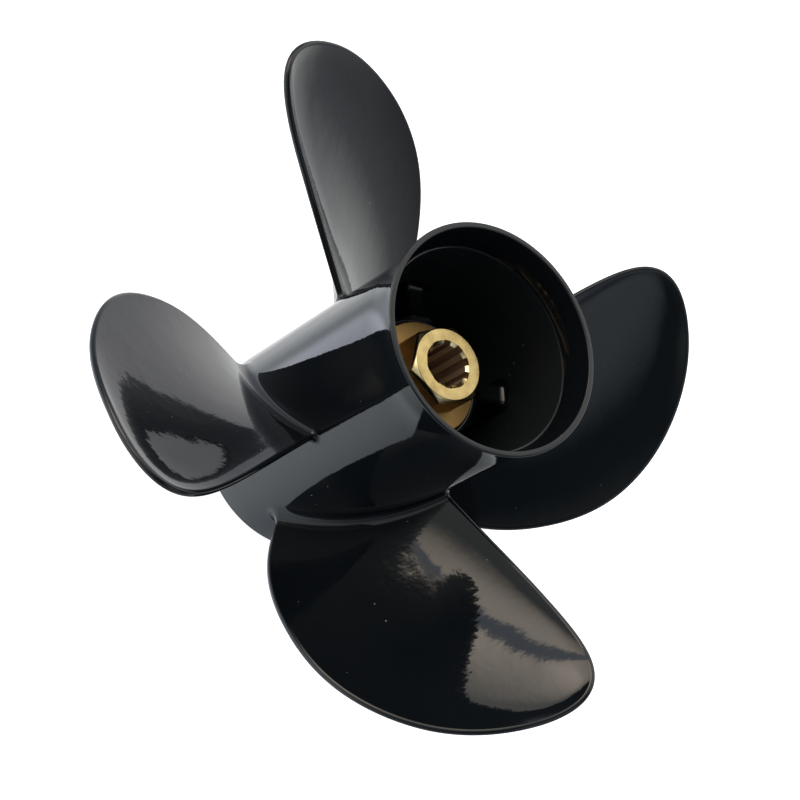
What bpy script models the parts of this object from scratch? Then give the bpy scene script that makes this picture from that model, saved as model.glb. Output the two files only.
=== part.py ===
"""Four-blade right-hand outboard propeller with a through-hub exhaust and a brass splined sleeve.

Metres, +Z up. The shaft axis is Z: the front end of the hub stands on Z = 0 and the exhaust
mouth opens upwards, so +Z points aft. Angles are seen from aft, counter-clockwise from +X.
"""

import math

import bmesh
import bpy
import numpy as np

MM = 0.001
GAP = 0.3 * MM                     # left between pieces that touch
BLADES = 4

# Hub casting
HUB_LENGTH = 147.6 * MM
BARREL_RADIUS = 43.4 * MM          # outside of the barrel at its front end
BARREL_TAPER = 0.005               # radius lost for each metre towards the tail
REGISTER_LENGTH = 12.0 * MM        # machined band at the front end
REGISTER_RADIUS = 42.6 * MM
SHOULDER = 0.6 * MM                # height of the slope between the band and the barrel
FRONT_CHAMFER = 1.2 * MM
FLARE_LENGTH = 21.6 * MM           # the barrel swells over this length up to the mouth
TAIL_RING_LENGTH = 12.7 * MM
TAIL_RING_RADIUS = 46.0 * MM
TAIL_LIP = 2.4 * MM               # thickness of the lip at the mouth
TAIL_STEP = 0.5 * MM               # the ring's bore is wider than the barrel's by this at the seam
BORE_RADIUS = 40.25 * MM           # inside of the barrel at the seam with the tail ring
BORE_TAPER = 0.015                 # radius gained for each metre towards the tail
LIP_CHAMFER = 0.6 * MM
HUB_SEGMENTS = 72

# Inner tube, which holds the rubber bush
TUBE_RADIUS = 25.6 * MM
TUBE_WALL = 2.3 * MM
TUBE_TOP = 98.9 * MM
TUBE_BOTTOM = 14.0 * MM
TUBE_CHAMFER = 0.7 * MM

# Ribs between the inner tube and the barrel
RIB_THICKNESS = 9.0 * MM
RIB_TURN = math.radians(-16.0)     # angle of the first rib from the first blade's reference line
RIB_CHAMFER = 1.5 * MM             # along the rib's front and aft edges
RIB_BOTTOM = 22.0 * MM
RIB_TOP = 98.0 * MM

# Brass drive sleeve
HEX_TOP = 117.0 * MM
HEX_ACROSS_FLATS = 28.7 * MM
HEX_TURN = math.radians(-0.3)
HEX_CHAMFER = math.radians(42.0)
HEX_FACE = 14.25 * MM              # radius of the turned end face
FLANGE_RADIUS = 23.0 * MM
FLANGE_TOP = 100.2 * MM
FLANGE_THICKNESS = 3.5 * MM
SLEEVE_RADIUS = 13.4 * MM
SLEEVE_BOTTOM = 17.0 * MM
SLEEVE_CHAMFER = 0.8 * MM
SPLINES = 10
SPLINE_TURN = math.radians(18.2)
SPLINE_ROOT_RADIUS = 9.7 * MM      # bottom of the grooves
SPLINE_TIP_RADIUS = 8.3 * MM
SPLINE_GROOVE = 3.0 * MM           # width of a groove
BORE_MOUTH = 9.6 * MM              # radius of the bore's countersink at both ends
MOUTH_SLOPE = math.tan(math.radians(35.0))    # depth of the countersink for each metre inwards
OVERCUT = 5.0 * MM                 # how far the cutters reach past the metal
SLEEVE_SEGMENTS = 60

# Rubber bush
BUSH_BOTTOM = 21.0 * MM
BUSH_CHAMFER = 1.0 * MM

# Blades: the pressure face is a helicoid, Z = BLADE_HEIGHT + rake(r) + PITCH / 2 pi * angle
PITCH = 318.0 * MM
BLADE_HEIGHT = 67.5 * MM           # on the reference line, at a radius of RAKE_START
RAKE_START = 46.0 * MM
RAKE_SLOPE = 0.291                 # at RAKE_START, in metres aft for each metre outwards
RAKE_CURVE = 0.27                  # its growth with the square of the distance from there
RAKE_SWEEP = 8.5                   # and with the cube
EDGE_THICKNESS = 2.8 * MM
ROOT_THICKNESS = 9.5 * MM
TIP_THICKNESS = 3.6 * MM
THINNING = 1.3                     # how early the blade thins towards the tip
TRAILING_FILLET = 3.0 * MM         # where the blade meets the barrel
LEADING_FILLET = 6.0 * MM
CUP_HEIGHT = 1.3 * MM              # curl of the trailing edge and the tip
CUP_WIDTH = 18.0 * MM
CUP_FADE_IN = (0.05, 0.2)          # along the outline, as shares of its length
CUP_FADE_OUT = (0.5, 0.62)
# The blade's outer edge as radius in millimetres and angle in degrees from the reference line:
# up the trailing edge, round the tip at 139 mm and down the leading edge into the hub
BLADE_EDGE = [
    (0.0, 10.2), (54.0, 15.3), (94.9, 16.7), (122.6, 15.2), (136.1, 9.8), (138.9, 0.0),
    (134.1, -13.4), (119.6, -27.2), (98.1, -37.1), (68.6, -45.3), (32.2, -48.1),
]
TRAILING_SEARCH = (0.02, 0.3)      # shares of the outline between which its edges meet the barrel
LEADING_SEARCH = (0.8, 0.995)
SPINE_END = (96.0 * MM, math.radians(-9.0))   # where the strips of the tip meet
SPINE_SHARE = 0.33                            # of the edge, from each root, before that
TIP_RADIUS = 139.0 * MM
TIP_STEPS = 17                     # stations between the root fillet and the tip
FILLET_STEPS = (0.0, 0.08, 0.25, 0.55, 1.0)
CHORD_STEPS = 6                    # from an edge to the spine
RIM_STEPS = 4                      # round the edge
CAP_STEPS = 3


def clear_scene():
    for thing in list(bpy.data.objects):
        bpy.data.objects.remove(thing, do_unlink=True)


def make_material(name, colour, roughness, metallic):
    material = bpy.data.materials.new(name)
    material.use_nodes = True
    shader = material.node_tree.nodes["Principled BSDF"]
    shader.inputs["Base Color"].default_value = (*colour, 1.0)
    shader.inputs["Roughness"].default_value = roughness
    shader.inputs["Metallic"].default_value = metallic
    material.diffuse_color = (*colour, 1.0)
    return material


def add_object(name, mesh, material, parent=None, turn=0.0):
    thing = bpy.data.objects.new(name, mesh)
    bpy.context.collection.objects.link(thing)
    if material and not mesh.materials:
        mesh.materials.append(material)
    thing.parent = parent
    thing.rotation_euler.z = turn
    return thing


def finish_mesh(bm, name, sharp=math.radians(35.0)):
    """Point every face outwards and turn the bmesh into a smooth-shaded mesh."""
    bmesh.ops.recalc_face_normals(bm, faces=bm.faces)
    mesh = bpy.data.meshes.new(name)
    bm.to_mesh(mesh)
    bm.free()
    mesh.shade_smooth()
    mesh.set_sharp_from_angle(angle=sharp)
    return mesh


def turned_mesh(name, profile, segments=HUB_SEGMENTS):
    """Spin a closed profile of (radius, height) points round Z. Points on the axis close the ends."""
    bm = bmesh.new()
    points = [bm.verts.new((radius, 0.0, height)) for radius, height in profile]
    edges = []
    for start, end in zip(points, points[1:] + points[:1]):
        if start.co.x > 0.0 or end.co.x > 0.0:
            edges.append(bm.edges.new((start, end)))
    bmesh.ops.spin(bm, geom=points + edges, cent=(0, 0, 0), axis=(0, 0, 1),
                   angle=math.tau, steps=segments, use_merge=True)
    bmesh.ops.remove_doubles(bm, verts=bm.verts, dist=0.00001)
    return finish_mesh(bm, name)


def prism_mesh(name, outline, low, high):
    """Extrude a closed outline of (x, y) points from one height to another."""
    bm = bmesh.new()
    face = bm.faces.new([bm.verts.new((x, y, low)) for x, y in outline])
    grown = bmesh.ops.extrude_face_region(bm, geom=[face])
    top = [v for v in grown["geom"] if isinstance(v, bmesh.types.BMVert)]
    bmesh.ops.translate(bm, verts=top, vec=(0, 0, high - low))
    return finish_mesh(bm, name)


def polar(radius, angle):
    return radius * math.cos(angle), radius * math.sin(angle)


SEAM = HUB_LENGTH - TAIL_RING_LENGTH
FLARE_START = HUB_LENGTH - FLARE_LENGTH


def barrel_radius(height):
    """Outside radius of the hub: almost a cylinder, then a concave swelling up to the mouth."""
    straight = BARREL_RADIUS - BARREL_TAPER * height
    swell = max(height - FLARE_START, 0.0) / FLARE_LENGTH
    return straight + (TAIL_RING_RADIUS - BARREL_RADIUS + BARREL_TAPER * HUB_LENGTH) * swell ** 2


def barrel_bore(height):
    return BORE_RADIUS - BORE_TAPER * (SEAM - height)


# Hub barrel, tail ring and inner tube

def make_hub_barrel(paint, parent):
    top = SEAM - GAP / 2
    nose = FRONT_CHAMFER / 2
    heights = [REGISTER_LENGTH + SHOULDER, top / 2, FLARE_START, (FLARE_START + top) / 2, top]
    profile = [
        (barrel_bore(nose), nose),
        (barrel_bore(0.0) + nose, 0.0),
        (REGISTER_RADIUS - FRONT_CHAMFER, 0.0),
        (REGISTER_RADIUS, FRONT_CHAMFER),
        (REGISTER_RADIUS, REGISTER_LENGTH),
    ]
    profile += [(barrel_radius(height), height) for height in heights]
    profile += [(barrel_bore(top), top), (barrel_bore(top / 2), top / 2)]
    return add_object("hub_barrel", turned_mesh("hub_barrel", profile), paint, parent)


def make_tail_ring(paint, parent):
    bottom = SEAM + GAP / 2
    edge = HUB_LENGTH - LIP_CHAMFER
    inside = barrel_bore(bottom) + TAIL_STEP
    lip_inside = TAIL_RING_RADIUS - TAIL_LIP
    middle = (bottom + edge) / 2
    profile = [
        (inside, bottom),
        (barrel_radius(bottom), bottom),
        (barrel_radius(middle), middle),
        (TAIL_RING_RADIUS - LIP_CHAMFER / 4, edge),
        (TAIL_RING_RADIUS - LIP_CHAMFER, HUB_LENGTH),
        (lip_inside + LIP_CHAMFER, HUB_LENGTH),
        (lip_inside, edge),
        (inside + (lip_inside - inside) / 3, middle),
    ]
    return add_object("tail_ring", turned_mesh("tail_ring", profile), paint, parent)


def make_inner_tube(paint, parent):
    edge = TUBE_CHAMFER
    bore = TUBE_RADIUS - TUBE_WALL
    profile = [
        (bore, TUBE_BOTTOM + edge),
        (bore + edge, TUBE_BOTTOM),
        (TUBE_RADIUS - edge, TUBE_BOTTOM),
        (TUBE_RADIUS, TUBE_BOTTOM + edge),
        (TUBE_RADIUS, TUBE_TOP - edge),
        (TUBE_RADIUS - edge, TUBE_TOP),
        (bore + edge, TUBE_TOP),
        (bore, TUBE_TOP - edge),
    ]
    return add_object("inner_tube", turned_mesh("inner_tube", profile), paint, parent)


# Ribs

def make_rib_mesh():
    """A web along the hub with its inner and outer ends curved to the tube and the barrel."""
    across = 4
    ends = RIB_CHAMFER
    half = RIB_THICKNESS / 2
    levels = [(RIB_BOTTOM, half - ends), (RIB_BOTTOM + ends, half),
              (RIB_TOP - ends, half), (RIB_TOP, half - ends)]
    bm = bmesh.new()
    loops = []
    for height, reach in levels:
        inner = []
        outer = []
        for step in range(across + 1):
            y = reach * (2 * step / across - 1)
            near = TUBE_RADIUS + GAP
            far = barrel_bore(height) - GAP
            inner.append(bm.verts.new((math.sqrt(near ** 2 - y ** 2), y, height)))
            outer.append(bm.verts.new((math.sqrt(far ** 2 - y ** 2), y, height)))
        loops.append(inner + outer[::-1])
    count = len(loops[0])
    for low, high in zip(loops, loops[1:]):
        for i in range(count):
            j = (i + 1) % count
            bm.faces.new((low[i], low[j], high[j], high[i]))
    for loop in (loops[0], loops[-1]):
        for i in range(across):
            bm.faces.new((loop[i], loop[i + 1], loop[count - 2 - i], loop[count - 1 - i]))
    return finish_mesh(bm, "rib")


# Drive sleeve and rubber bush

def spline_outline():
    """Across the bore: a straight-sided groove for each shaft tooth, round lands between."""
    outline = []
    half = SPLINE_GROOVE / 2
    tip = math.asin(half / SPLINE_TIP_RADIUS)
    root = math.asin(half / SPLINE_ROOT_RADIUS)
    pitch = math.tau / SPLINES
    for tooth in range(SPLINES):
        middle = SPLINE_TURN + tooth * pitch
        outline.append(polar(SPLINE_TIP_RADIUS, middle - tip))
        outline.append(polar(SPLINE_ROOT_RADIUS, middle - root))
        outline.append(polar(SPLINE_ROOT_RADIUS, middle + root))
        outline.append(polar(SPLINE_TIP_RADIUS, middle + tip))
        outline.append(polar(SPLINE_TIP_RADIUS, middle + pitch / 2))
    return outline


def hide_cutter(cutter):
    cutter.hide_render = True
    cutter.display_type = "WIRE"


def cut(thing, cutter):
    hide_cutter(cutter)
    modifier = thing.modifiers.new("cut " + cutter.name, "BOOLEAN")
    modifier.operation = "DIFFERENCE"
    modifier.solver = "EXACT"
    modifier.object = cutter


def make_drive_sleeve(brass, parent):
    corner = HEX_ACROSS_FLATS / 2 / math.cos(math.pi / 6)
    drop = (corner - HEX_FACE) * math.tan(HEX_CHAMFER)
    flange_bottom = FLANGE_TOP - FLANGE_THICKNESS
    edge = SLEEVE_CHAMFER
    blank = turned_mesh("drive_sleeve", [
        (0.0, SLEEVE_BOTTOM),
        (SLEEVE_RADIUS - edge, SLEEVE_BOTTOM),
        (SLEEVE_RADIUS, SLEEVE_BOTTOM + edge),
        (SLEEVE_RADIUS, flange_bottom),
        (FLANGE_RADIUS, flange_bottom),
        (FLANGE_RADIUS, FLANGE_TOP),
        (corner, FLANGE_TOP),
        (corner, HEX_TOP - drop),
        (HEX_FACE, HEX_TOP),
        (0.0, HEX_TOP),
    ], segments=SLEEVE_SEGMENTS)
    sleeve = add_object("drive_sleeve", blank, brass, parent)

    # The hexagon is cut by a ring that has the hexagon as its hole
    bm = bmesh.new()
    loops = []
    corners = [HEX_TURN + math.pi / 6 + math.pi / 3 * k for k in range(6)]
    for height in (FLANGE_TOP, HEX_TOP + OVERCUT):
        for radius in (corner, corner + OVERCUT):
            loops.append([bm.verts.new((*polar(radius, angle), height)) for angle in corners])
    for first, second in ((0, 1), (1, 3), (3, 2), (2, 0)):
        for k in range(6):
            following = (k + 1) % 6
            bm.faces.new((loops[first][k], loops[first][following],
                          loops[second][following], loops[second][k]))
    cut(sleeve, add_object("hex_cutter", finish_mesh(bm, "hex_cutter"), None, parent))

    spline = prism_mesh("spline_cutter", spline_outline(), SLEEVE_BOTTOM - OVERCUT, HEX_TOP + OVERCUT)
    cut(sleeve, add_object("spline_cutter", spline, None, parent))
    # A cone at each end countersinks the mouth of the bore
    low = SPLINE_TIP_RADIUS - MM
    high = BORE_MOUTH + MM
    for name, end, inward in (("aft_chamfer_cutter", HEX_TOP, -1.0),
                              ("front_chamfer_cutter", SLEEVE_BOTTOM, 1.0)):
        deep = end + inward * (BORE_MOUTH - low) * MOUTH_SLOPE
        past = end + inward * (BORE_MOUTH - high) * MOUTH_SLOPE
        cone = turned_mesh(name, [(0.0, deep), (low, deep), (high, past), (0.0, past)],
                           segments=SLEEVE_SEGMENTS)
        cut(sleeve, add_object(name, cone, None, parent))
    return sleeve


def make_rubber_bush(rubber, parent):
    top = FLANGE_TOP - FLANGE_THICKNESS - GAP
    inside = SLEEVE_RADIUS + GAP
    outside = TUBE_RADIUS - TUBE_WALL - GAP
    profile = [
        (inside, BUSH_BOTTOM),
        (outside - BUSH_CHAMFER, BUSH_BOTTOM),
        (outside, BUSH_BOTTOM + BUSH_CHAMFER),
        (outside, top),
        (inside, top),
    ]
    return add_object("rubber_bush", turned_mesh("rubber_bush", profile), rubber, parent)


# Blades

def natural_spline(values):
    """A smooth curve through evenly spaced values, with no bend at its two ends."""
    values = np.asarray(values, float)
    count = len(values)
    system = np.eye(count)
    right = np.zeros(count)
    for i in range(1, count - 1):
        system[i, i - 1:i + 2] = (1.0, 4.0, 1.0)
        right[i] = 6.0 * (values[i - 1] - 2.0 * values[i] + values[i + 1])
    bend = np.linalg.solve(system, right)

    def at(share):
        place = min(max(share, 0.0), 1.0) * (count - 1)
        i = min(int(place), count - 2)
        b = place - i
        a = 1.0 - b
        return (a * values[i] + b * values[i + 1]
                + ((a ** 3 - a) * bend[i] + (b ** 3 - b) * bend[i + 1]) / 6.0)
    return at


edge_radius = natural_spline([radius * MM for radius, angle in BLADE_EDGE])
edge_angle = natural_spline([math.radians(angle) for radius, angle in BLADE_EDGE])


def face_height(radius, angle):
    """Height of the pressure face."""
    out = radius - RAKE_START
    rake = RAKE_SLOPE * out + RAKE_CURVE * out ** 2 + RAKE_SWEEP * out ** 3
    return BLADE_HEIGHT + rake + PITCH / math.tau * angle


def face_point(radius, angle):
    return np.array([*polar(radius, angle), face_height(radius, angle)])


def face_normal(radius, angle):
    """Unit normal of the pressure face, pointing aft."""
    out = radius - RAKE_START
    slope = RAKE_SLOPE + 2.0 * RAKE_CURVE * out + 3.0 * RAKE_SWEEP * out ** 2
    outward = np.array([math.cos(angle), math.sin(angle), slope])
    around = np.array([-radius * math.sin(angle), radius * math.cos(angle), PITCH / math.tau])
    normal = np.cross(outward, around)
    return normal / np.linalg.norm(normal)


def fade(value, start, end):
    """0 before start, 1 after end and a smooth step between."""
    share = min(max((value - start) / (end - start), 0.0), 1.0)
    return share * share * (3.0 - 2.0 * share)


def edge_frame(share):
    """On the blade's edge: radius, angle, normal, and the direction away from the blade."""
    step = 0.0005
    radius, angle = edge_radius(share), edge_angle(share)
    along = face_point(edge_radius(share + step), edge_angle(share + step))
    along -= face_point(edge_radius(share - step), edge_angle(share - step))
    normal = face_normal(radius, angle)
    outward = np.cross(normal, along)
    return radius, angle, normal, outward / np.linalg.norm(outward)


def edge_point(share):
    """Radius and angle where the flat of the pressure face ends and the rounded edge starts."""
    radius, angle, normal, outward = edge_frame(share)
    moved = face_point(radius, angle) - outward * EDGE_THICKNESS / 2
    return math.hypot(moved[0], moved[1]), math.atan2(moved[1], moved[0])


def edge_share_at(lift, low, high):
    """Where the edge stands that far off the barrel, between two shares of its length."""
    def above(share):
        radius, angle = edge_point(share)
        return radius - barrel_radius(face_height(radius, angle)) - lift
    rising = above(high) > above(low)
    for _ in range(40):
        middle = (low + high) / 2
        if (above(middle) < 0.0) == rising:
            low = middle
        else:
            high = middle
    return (low + high) / 2


def thickness(radius, inward):
    """Blade thickness: inward is 0 at the edge and 1 on the spine."""
    reach = min(max((radius - BARREL_RADIUS) / (TIP_RADIUS - BARREL_RADIUS), 0.0), 1.0)
    middle = TIP_THICKNESS + (ROOT_THICKNESS - TIP_THICKNESS) * (1.0 - reach) ** THINNING
    return EDGE_THICKNESS + (middle - EDGE_THICKNESS) * fade(inward, 0.0, 1.0)


def seat_on_hub(point, lift):
    """Move a point straight out from the axis until it stands that far off the barrel."""
    radius = barrel_radius(point[2]) + lift
    x, y = polar(radius, math.atan2(point[1], point[0]))
    return np.array([x, y, point[2]])


def blade_rows():
    """Stations from root to tip: height off the hub in the fillet, then two edge shares."""
    rows = []
    for step in FILLET_STEPS:
        lift = GAP + step * (LEADING_FILLET - GAP)
        rows.append((lift, edge_share_at(lift, *TRAILING_SEARCH), edge_share_at(lift, *LEADING_SEARCH)))
    trailing, leading = rows[-1][1:]
    for step in range(1, TIP_STEPS + 1):
        share = step / TIP_STEPS
        rows.append((None, trailing + (0.5 - trailing) * share, leading + (0.5 - leading) * share))
    return rows


def spine_point(row, fillet_row):
    """Radius and angle where the two halves of a station meet."""
    if row[0] is not None:
        ends = edge_point(row[1]), edge_point(row[2])
        return [(a + b) / 2 for a, b in zip(*ends)]
    start = spine_point(fillet_row, fillet_row)
    along = min((row[1] - fillet_row[1]) / (SPINE_SHARE - fillet_row[1]), 1.0)
    return [a + (b - a) * along for a, b in zip(start, SPINE_END)]


def fillet_spread(lift, along):
    """How far the fillet stands out; along is 0 at the trailing edge and 1 at the leading edge."""
    radius = TRAILING_FILLET + (LEADING_FILLET - TRAILING_FILLET) * along
    if lift is None or lift >= radius:
        return 0.0
    return radius - math.sqrt(radius ** 2 - (radius - lift) ** 2)


def cup_share(share, trailing):
    """How much of the cup there is: it fades in from the root and out past the tip."""
    if trailing:
        return fade(share, *CUP_FADE_IN)
    return 1.0 - fade(share, *CUP_FADE_OUT)


def half_station(share, trailing, spine, lift):
    """From one edge to the spine: points of the pressure face and the suction face, and the rim."""
    end = edge_point(share)
    inwards = [1.0 - math.cos(math.pi / 2 * step / CHORD_STEPS) for step in range(CHORD_STEPS + 1)]
    places = [[a + (b - a) * inward for a, b in zip(end, spine)] for inward in inwards]
    face = np.array([face_point(*place) for place in places])
    edge_normal, edge_outward = edge_frame(share)[2:]
    height = CUP_HEIGHT * cup_share(share, trailing)
    pressure, suction = [], []
    for place, inward, point in zip(places, inwards, face):
        normal = face_normal(*place)
        outward = edge_outward - edge_outward.dot(normal) * normal
        outward /= np.linalg.norm(outward)
        near = max(1.0 - np.linalg.norm(point - face[0]) / CUP_WIDTH, 0.0)
        tilt = math.atan(2.0 * height * near / CUP_WIDTH)
        point = point + normal * height * near ** 2
        normal = normal * math.cos(tilt) - outward * math.sin(tilt)
        spread = fillet_spread(lift, inward / 2 if trailing else 1.0 - inward / 2)
        pressure.append(point + normal * spread)
        suction.append(point - normal * (thickness(place[0], inward) + spread))
    tilt = math.atan(2.0 * height / CUP_WIDTH)
    across = edge_normal * math.cos(tilt) - edge_outward * math.sin(tilt)
    away = edge_outward * math.cos(tilt) + edge_normal * math.sin(tilt)
    middle = (pressure[0] + suction[0]) / 2
    reach = EDGE_THICKNESS / 2 + fillet_spread(lift, 0.0 if trailing else 1.0)
    rim = [middle + reach * (math.cos(turn) * across + math.sin(turn) * away)
           for turn in (math.pi * step / RIM_STEPS for step in range(1, RIM_STEPS))]
    return pressure, suction, rim


def station_loop(row, fillet_row):
    """A closed loop round the blade: pressure face, leading edge, suction face, trailing edge."""
    lift, trailing, leading = row
    spine = spine_point(row, fillet_row)
    trailing_half = half_station(trailing, True, spine, lift)
    leading_half = half_station(leading, False, spine, lift)
    pressure, suction = (trailing_half[k] + leading_half[k][-2::-1] for k in (0, 1))
    loop = pressure + leading_half[2] + suction[::-1] + trailing_half[2][::-1]
    return loop if lift is None else [seat_on_hub(point, lift) for point in loop]


def root_cap_loops(loop):
    """Shrink the root's loop onto its own middle line, along the barrel, in steps."""
    count = 2 * CHORD_STEPS + 1
    rim = RIM_STEPS - 1
    pressure, suction = loop[:count], loop[count + rim:2 * count + rim][::-1]
    line = [(a + b) / 2 for a, b in zip(pressure, suction)]
    middles = line + [line[-1]] * rim + line[::-1] + [line[0]] * rim
    return [[seat_on_hub(point + (middle - point) * step / CAP_STEPS, GAP)
             for point, middle in zip(loop, middles)] for step in range(CAP_STEPS, 0, -1)]


def make_blade_mesh():
    rows = blade_rows()
    fillet_row = rows[len(FILLET_STEPS) - 1]
    loops = [station_loop(row, fillet_row) for row in rows]
    bm = bmesh.new()
    rings = [[bm.verts.new(point) for point in loop] for loop in root_cap_loops(loops[0]) + loops]
    count = len(rings[0])
    for low, high in zip(rings, rings[1:]):
        for i in range(count):
            j = (i + 1) % count
            bm.faces.new((low[i], low[j], high[j], high[i]))
    # The cap's innermost loop and the tip's last loop fold onto themselves and close
    bmesh.ops.remove_doubles(bm, verts=bm.verts, dist=0.00001)
    return finish_mesh(bm, "blade", sharp=math.radians(60.0))


def build():
    clear_scene()
    paint = make_material("gloss_black_paint", (0.012, 0.012, 0.014), 0.12, 0.0)
    brass = make_material("machined_brass", (0.72, 0.53, 0.22), 0.28, 1.0)
    rubber = make_material("bush_rubber", (0.02, 0.02, 0.02), 0.75, 0.0)
    propeller = bpy.data.objects.new("propeller", None)
    bpy.context.collection.objects.link(propeller)

    make_hub_barrel(paint, propeller)
    make_tail_ring(paint, propeller)
    make_inner_tube(paint, propeller)
    rib = make_rib_mesh()
    blade = make_blade_mesh()
    quarter = math.tau / BLADES
    for k in range(BLADES):
        add_object(f"rib_{k + 1}", rib, paint, propeller, RIB_TURN + k * quarter)
        add_object(f"blade_{k + 1}", blade, paint, propeller, k * quarter)
    make_drive_sleeve(brass, propeller)
    make_rubber_bush(rubber, propeller)


build()
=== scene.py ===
# %% [markdown]
# A four-blade propeller for an outboard motor: one aluminium casting in gloss black paint, with
# a brass sleeve in the middle that slides onto the splined shaft. The imported model already has
# every piece at its real size and place. This lesson gives each piece its finished surface. The
# shaft is the Z axis, the front end of the hub stands on the floor and the exhaust mouth looks
# up. First the model is loaded as a fixed frame, and the boxes of its pieces give some of the
# sizes below.

import math

import bmesh
import bpy
import numpy as np
from mathutils import Matrix, Vector


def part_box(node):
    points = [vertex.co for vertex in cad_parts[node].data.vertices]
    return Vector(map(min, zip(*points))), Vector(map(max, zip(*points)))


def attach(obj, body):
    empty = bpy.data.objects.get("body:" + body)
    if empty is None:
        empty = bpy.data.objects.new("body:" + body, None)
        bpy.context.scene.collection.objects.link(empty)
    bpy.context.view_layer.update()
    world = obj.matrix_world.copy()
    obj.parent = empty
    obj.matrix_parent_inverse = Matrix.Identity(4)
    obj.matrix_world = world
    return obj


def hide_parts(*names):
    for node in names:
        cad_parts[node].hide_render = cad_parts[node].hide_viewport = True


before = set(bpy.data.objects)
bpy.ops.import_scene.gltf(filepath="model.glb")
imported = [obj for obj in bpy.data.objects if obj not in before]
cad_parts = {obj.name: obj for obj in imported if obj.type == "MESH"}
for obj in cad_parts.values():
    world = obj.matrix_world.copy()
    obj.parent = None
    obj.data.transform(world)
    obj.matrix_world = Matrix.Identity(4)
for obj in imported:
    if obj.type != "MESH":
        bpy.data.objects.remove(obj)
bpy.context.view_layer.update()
MM = 0.001


# %% [markdown]
# The camera comes early, because every later look at the model uses it. The photograph was taken
# with a long lens from about 0.85 m, from above and a little to the side, and rolled, so that
# the shaft axis leans across the picture. A camera can be built from its place, the point that
# it looks at and its roll about the line of sight. These three are easier to adjust by eye than
# a list of rotation angles.

# %% The camera
CAMERA_PLACE = Vector((0.15231, -0.49579, 0.73486))
CAMERA_AIM = Vector((0.00178, 0.00396, 0.07640))
CAMERA_ROLL = math.radians(60.62)
CAMERA_LENS = 95.79
SENSOR_WIDTH = 36.0
NEAR, FAR = 0.05, 50.0


def make_camera():
    data = bpy.data.cameras.new("product_camera")
    data.lens = CAMERA_LENS
    data.sensor_width = SENSOR_WIDTH
    data.clip_start, data.clip_end = NEAR, FAR
    camera = bpy.data.objects.new("product_camera", data)
    bpy.context.scene.collection.objects.link(camera)
    look = (CAMERA_AIM - CAMERA_PLACE).to_track_quat("-Z", "Y").to_matrix()
    rolled = look @ Matrix.Rotation(CAMERA_ROLL, 3, "Z")
    camera.matrix_world = Matrix.Translation(CAMERA_PLACE) @ rolled.to_4x4()
    bpy.context.scene.camera = camera
    return camera


camera = make_camera()
print("camera:", round((CAMERA_AIM - CAMERA_PLACE).length, 3), "m from the hub")

# %% [markdown]
# Most of this object was shaped by turning: the barrel, the lip at its mouth, the inner tube
# and the brass sleeve. A turned piece needs only half of its section, spun round the axis. Real
# edges are never perfectly sharp, and a gloss surface shows it, because every rounded edge
# catches a thin line of light. So one helper draws the section from corner points, each
# with its own rounding radius, and another spins it.

# %% Helpers for turned pieces
ROUNDING_STEPS = 6
TURN_STEPS = 256                   # enough for a clean reflection on the barrel
MERGE_DISTANCE = 0.002 * MM
SHARP_EDGE = math.radians(60.0)    # faces that meet at more than this keep a hard edge


def rounded_outline(corners, steps=ROUNDING_STEPS):
    """Replace each (x, y, radius) corner of a closed outline by an arc of that radius."""
    outline = []
    count = len(corners)
    for i, (x, y, radius) in enumerate(corners):
        here = Vector((x, y))
        back = Vector(corners[i - 1][:2]) - here
        ahead = Vector(corners[(i + 1) % count][:2]) - here
        if radius <= 0.0:
            outline.append(here)
            continue
        half = back.angle(ahead) / 2
        reach = min(radius / math.tan(half), back.length / 2, ahead.length / 2)
        radius = reach * math.tan(half)
        inwards = (back.normalized() + ahead.normalized()).normalized()
        centre = here + inwards * radius / math.sin(half)
        start = here + back.normalized() * reach - centre
        end = here + ahead.normalized() * reach - centre
        turn = start.angle_signed(end)
        for step in range(steps + 1):
            outline.append(centre + Matrix.Rotation(-turn * step / steps, 2) @ start)
    return [(point.x, point.y) for point in outline]


def finish_mesh(bm, name, sharp=SHARP_EDGE):
    """Point the faces outwards and hand the bmesh over as a smooth-shaded mesh."""
    bmesh.ops.remove_doubles(bm, verts=bm.verts, dist=MERGE_DISTANCE)
    bmesh.ops.recalc_face_normals(bm, faces=bm.faces)
    mesh = bpy.data.meshes.new(name)
    bm.to_mesh(mesh)
    bm.free()
    mesh.shade_smooth()
    mesh.set_sharp_from_angle(angle=sharp)
    return mesh


def turned_mesh(name, outline, segments=TURN_STEPS):
    """Spin a closed outline of (radius, height) points about the shaft axis."""
    bm = bmesh.new()
    points = [bm.verts.new((radius, 0.0, height)) for radius, height in outline]
    edges = [bm.edges.new(pair) for pair in zip(points, points[1:] + points[:1])]
    bmesh.ops.spin(bm, geom=points + edges, cent=(0, 0, 0), axis=(0, 0, 1),
                   angle=math.tau, steps=segments, use_merge=True)
    return finish_mesh(bm, name)


def place(name, mesh, material, nodes, turn=0.0):
    """Link a finished mesh, let it ride with the model and stand for its plain solids.

    A mesh that already has its materials keeps them.
    """
    piece = bpy.data.objects.new(name, mesh)
    bpy.context.scene.collection.objects.link(piece)
    piece.rotation_euler.z = turn
    if not mesh.materials:
        mesh.materials.append(material)
    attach(piece, "root")
    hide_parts(*nodes)
    print(name, "-", len(mesh.polygons), "faces, stands for", ", ".join(nodes))
    return piece


def polar(radius, angle):
    """X and Y of a point at that radius and angle."""
    return radius * math.cos(angle), radius * math.sin(angle)


print("turned pieces:", ROUNDING_STEPS, "steps in a rounded corner,", TURN_STEPS, "round the axis")

# %% [markdown]
# The paint and the brass are made properly further down. Plain stand-ins let the shapes be
# built and looked at first.

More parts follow.
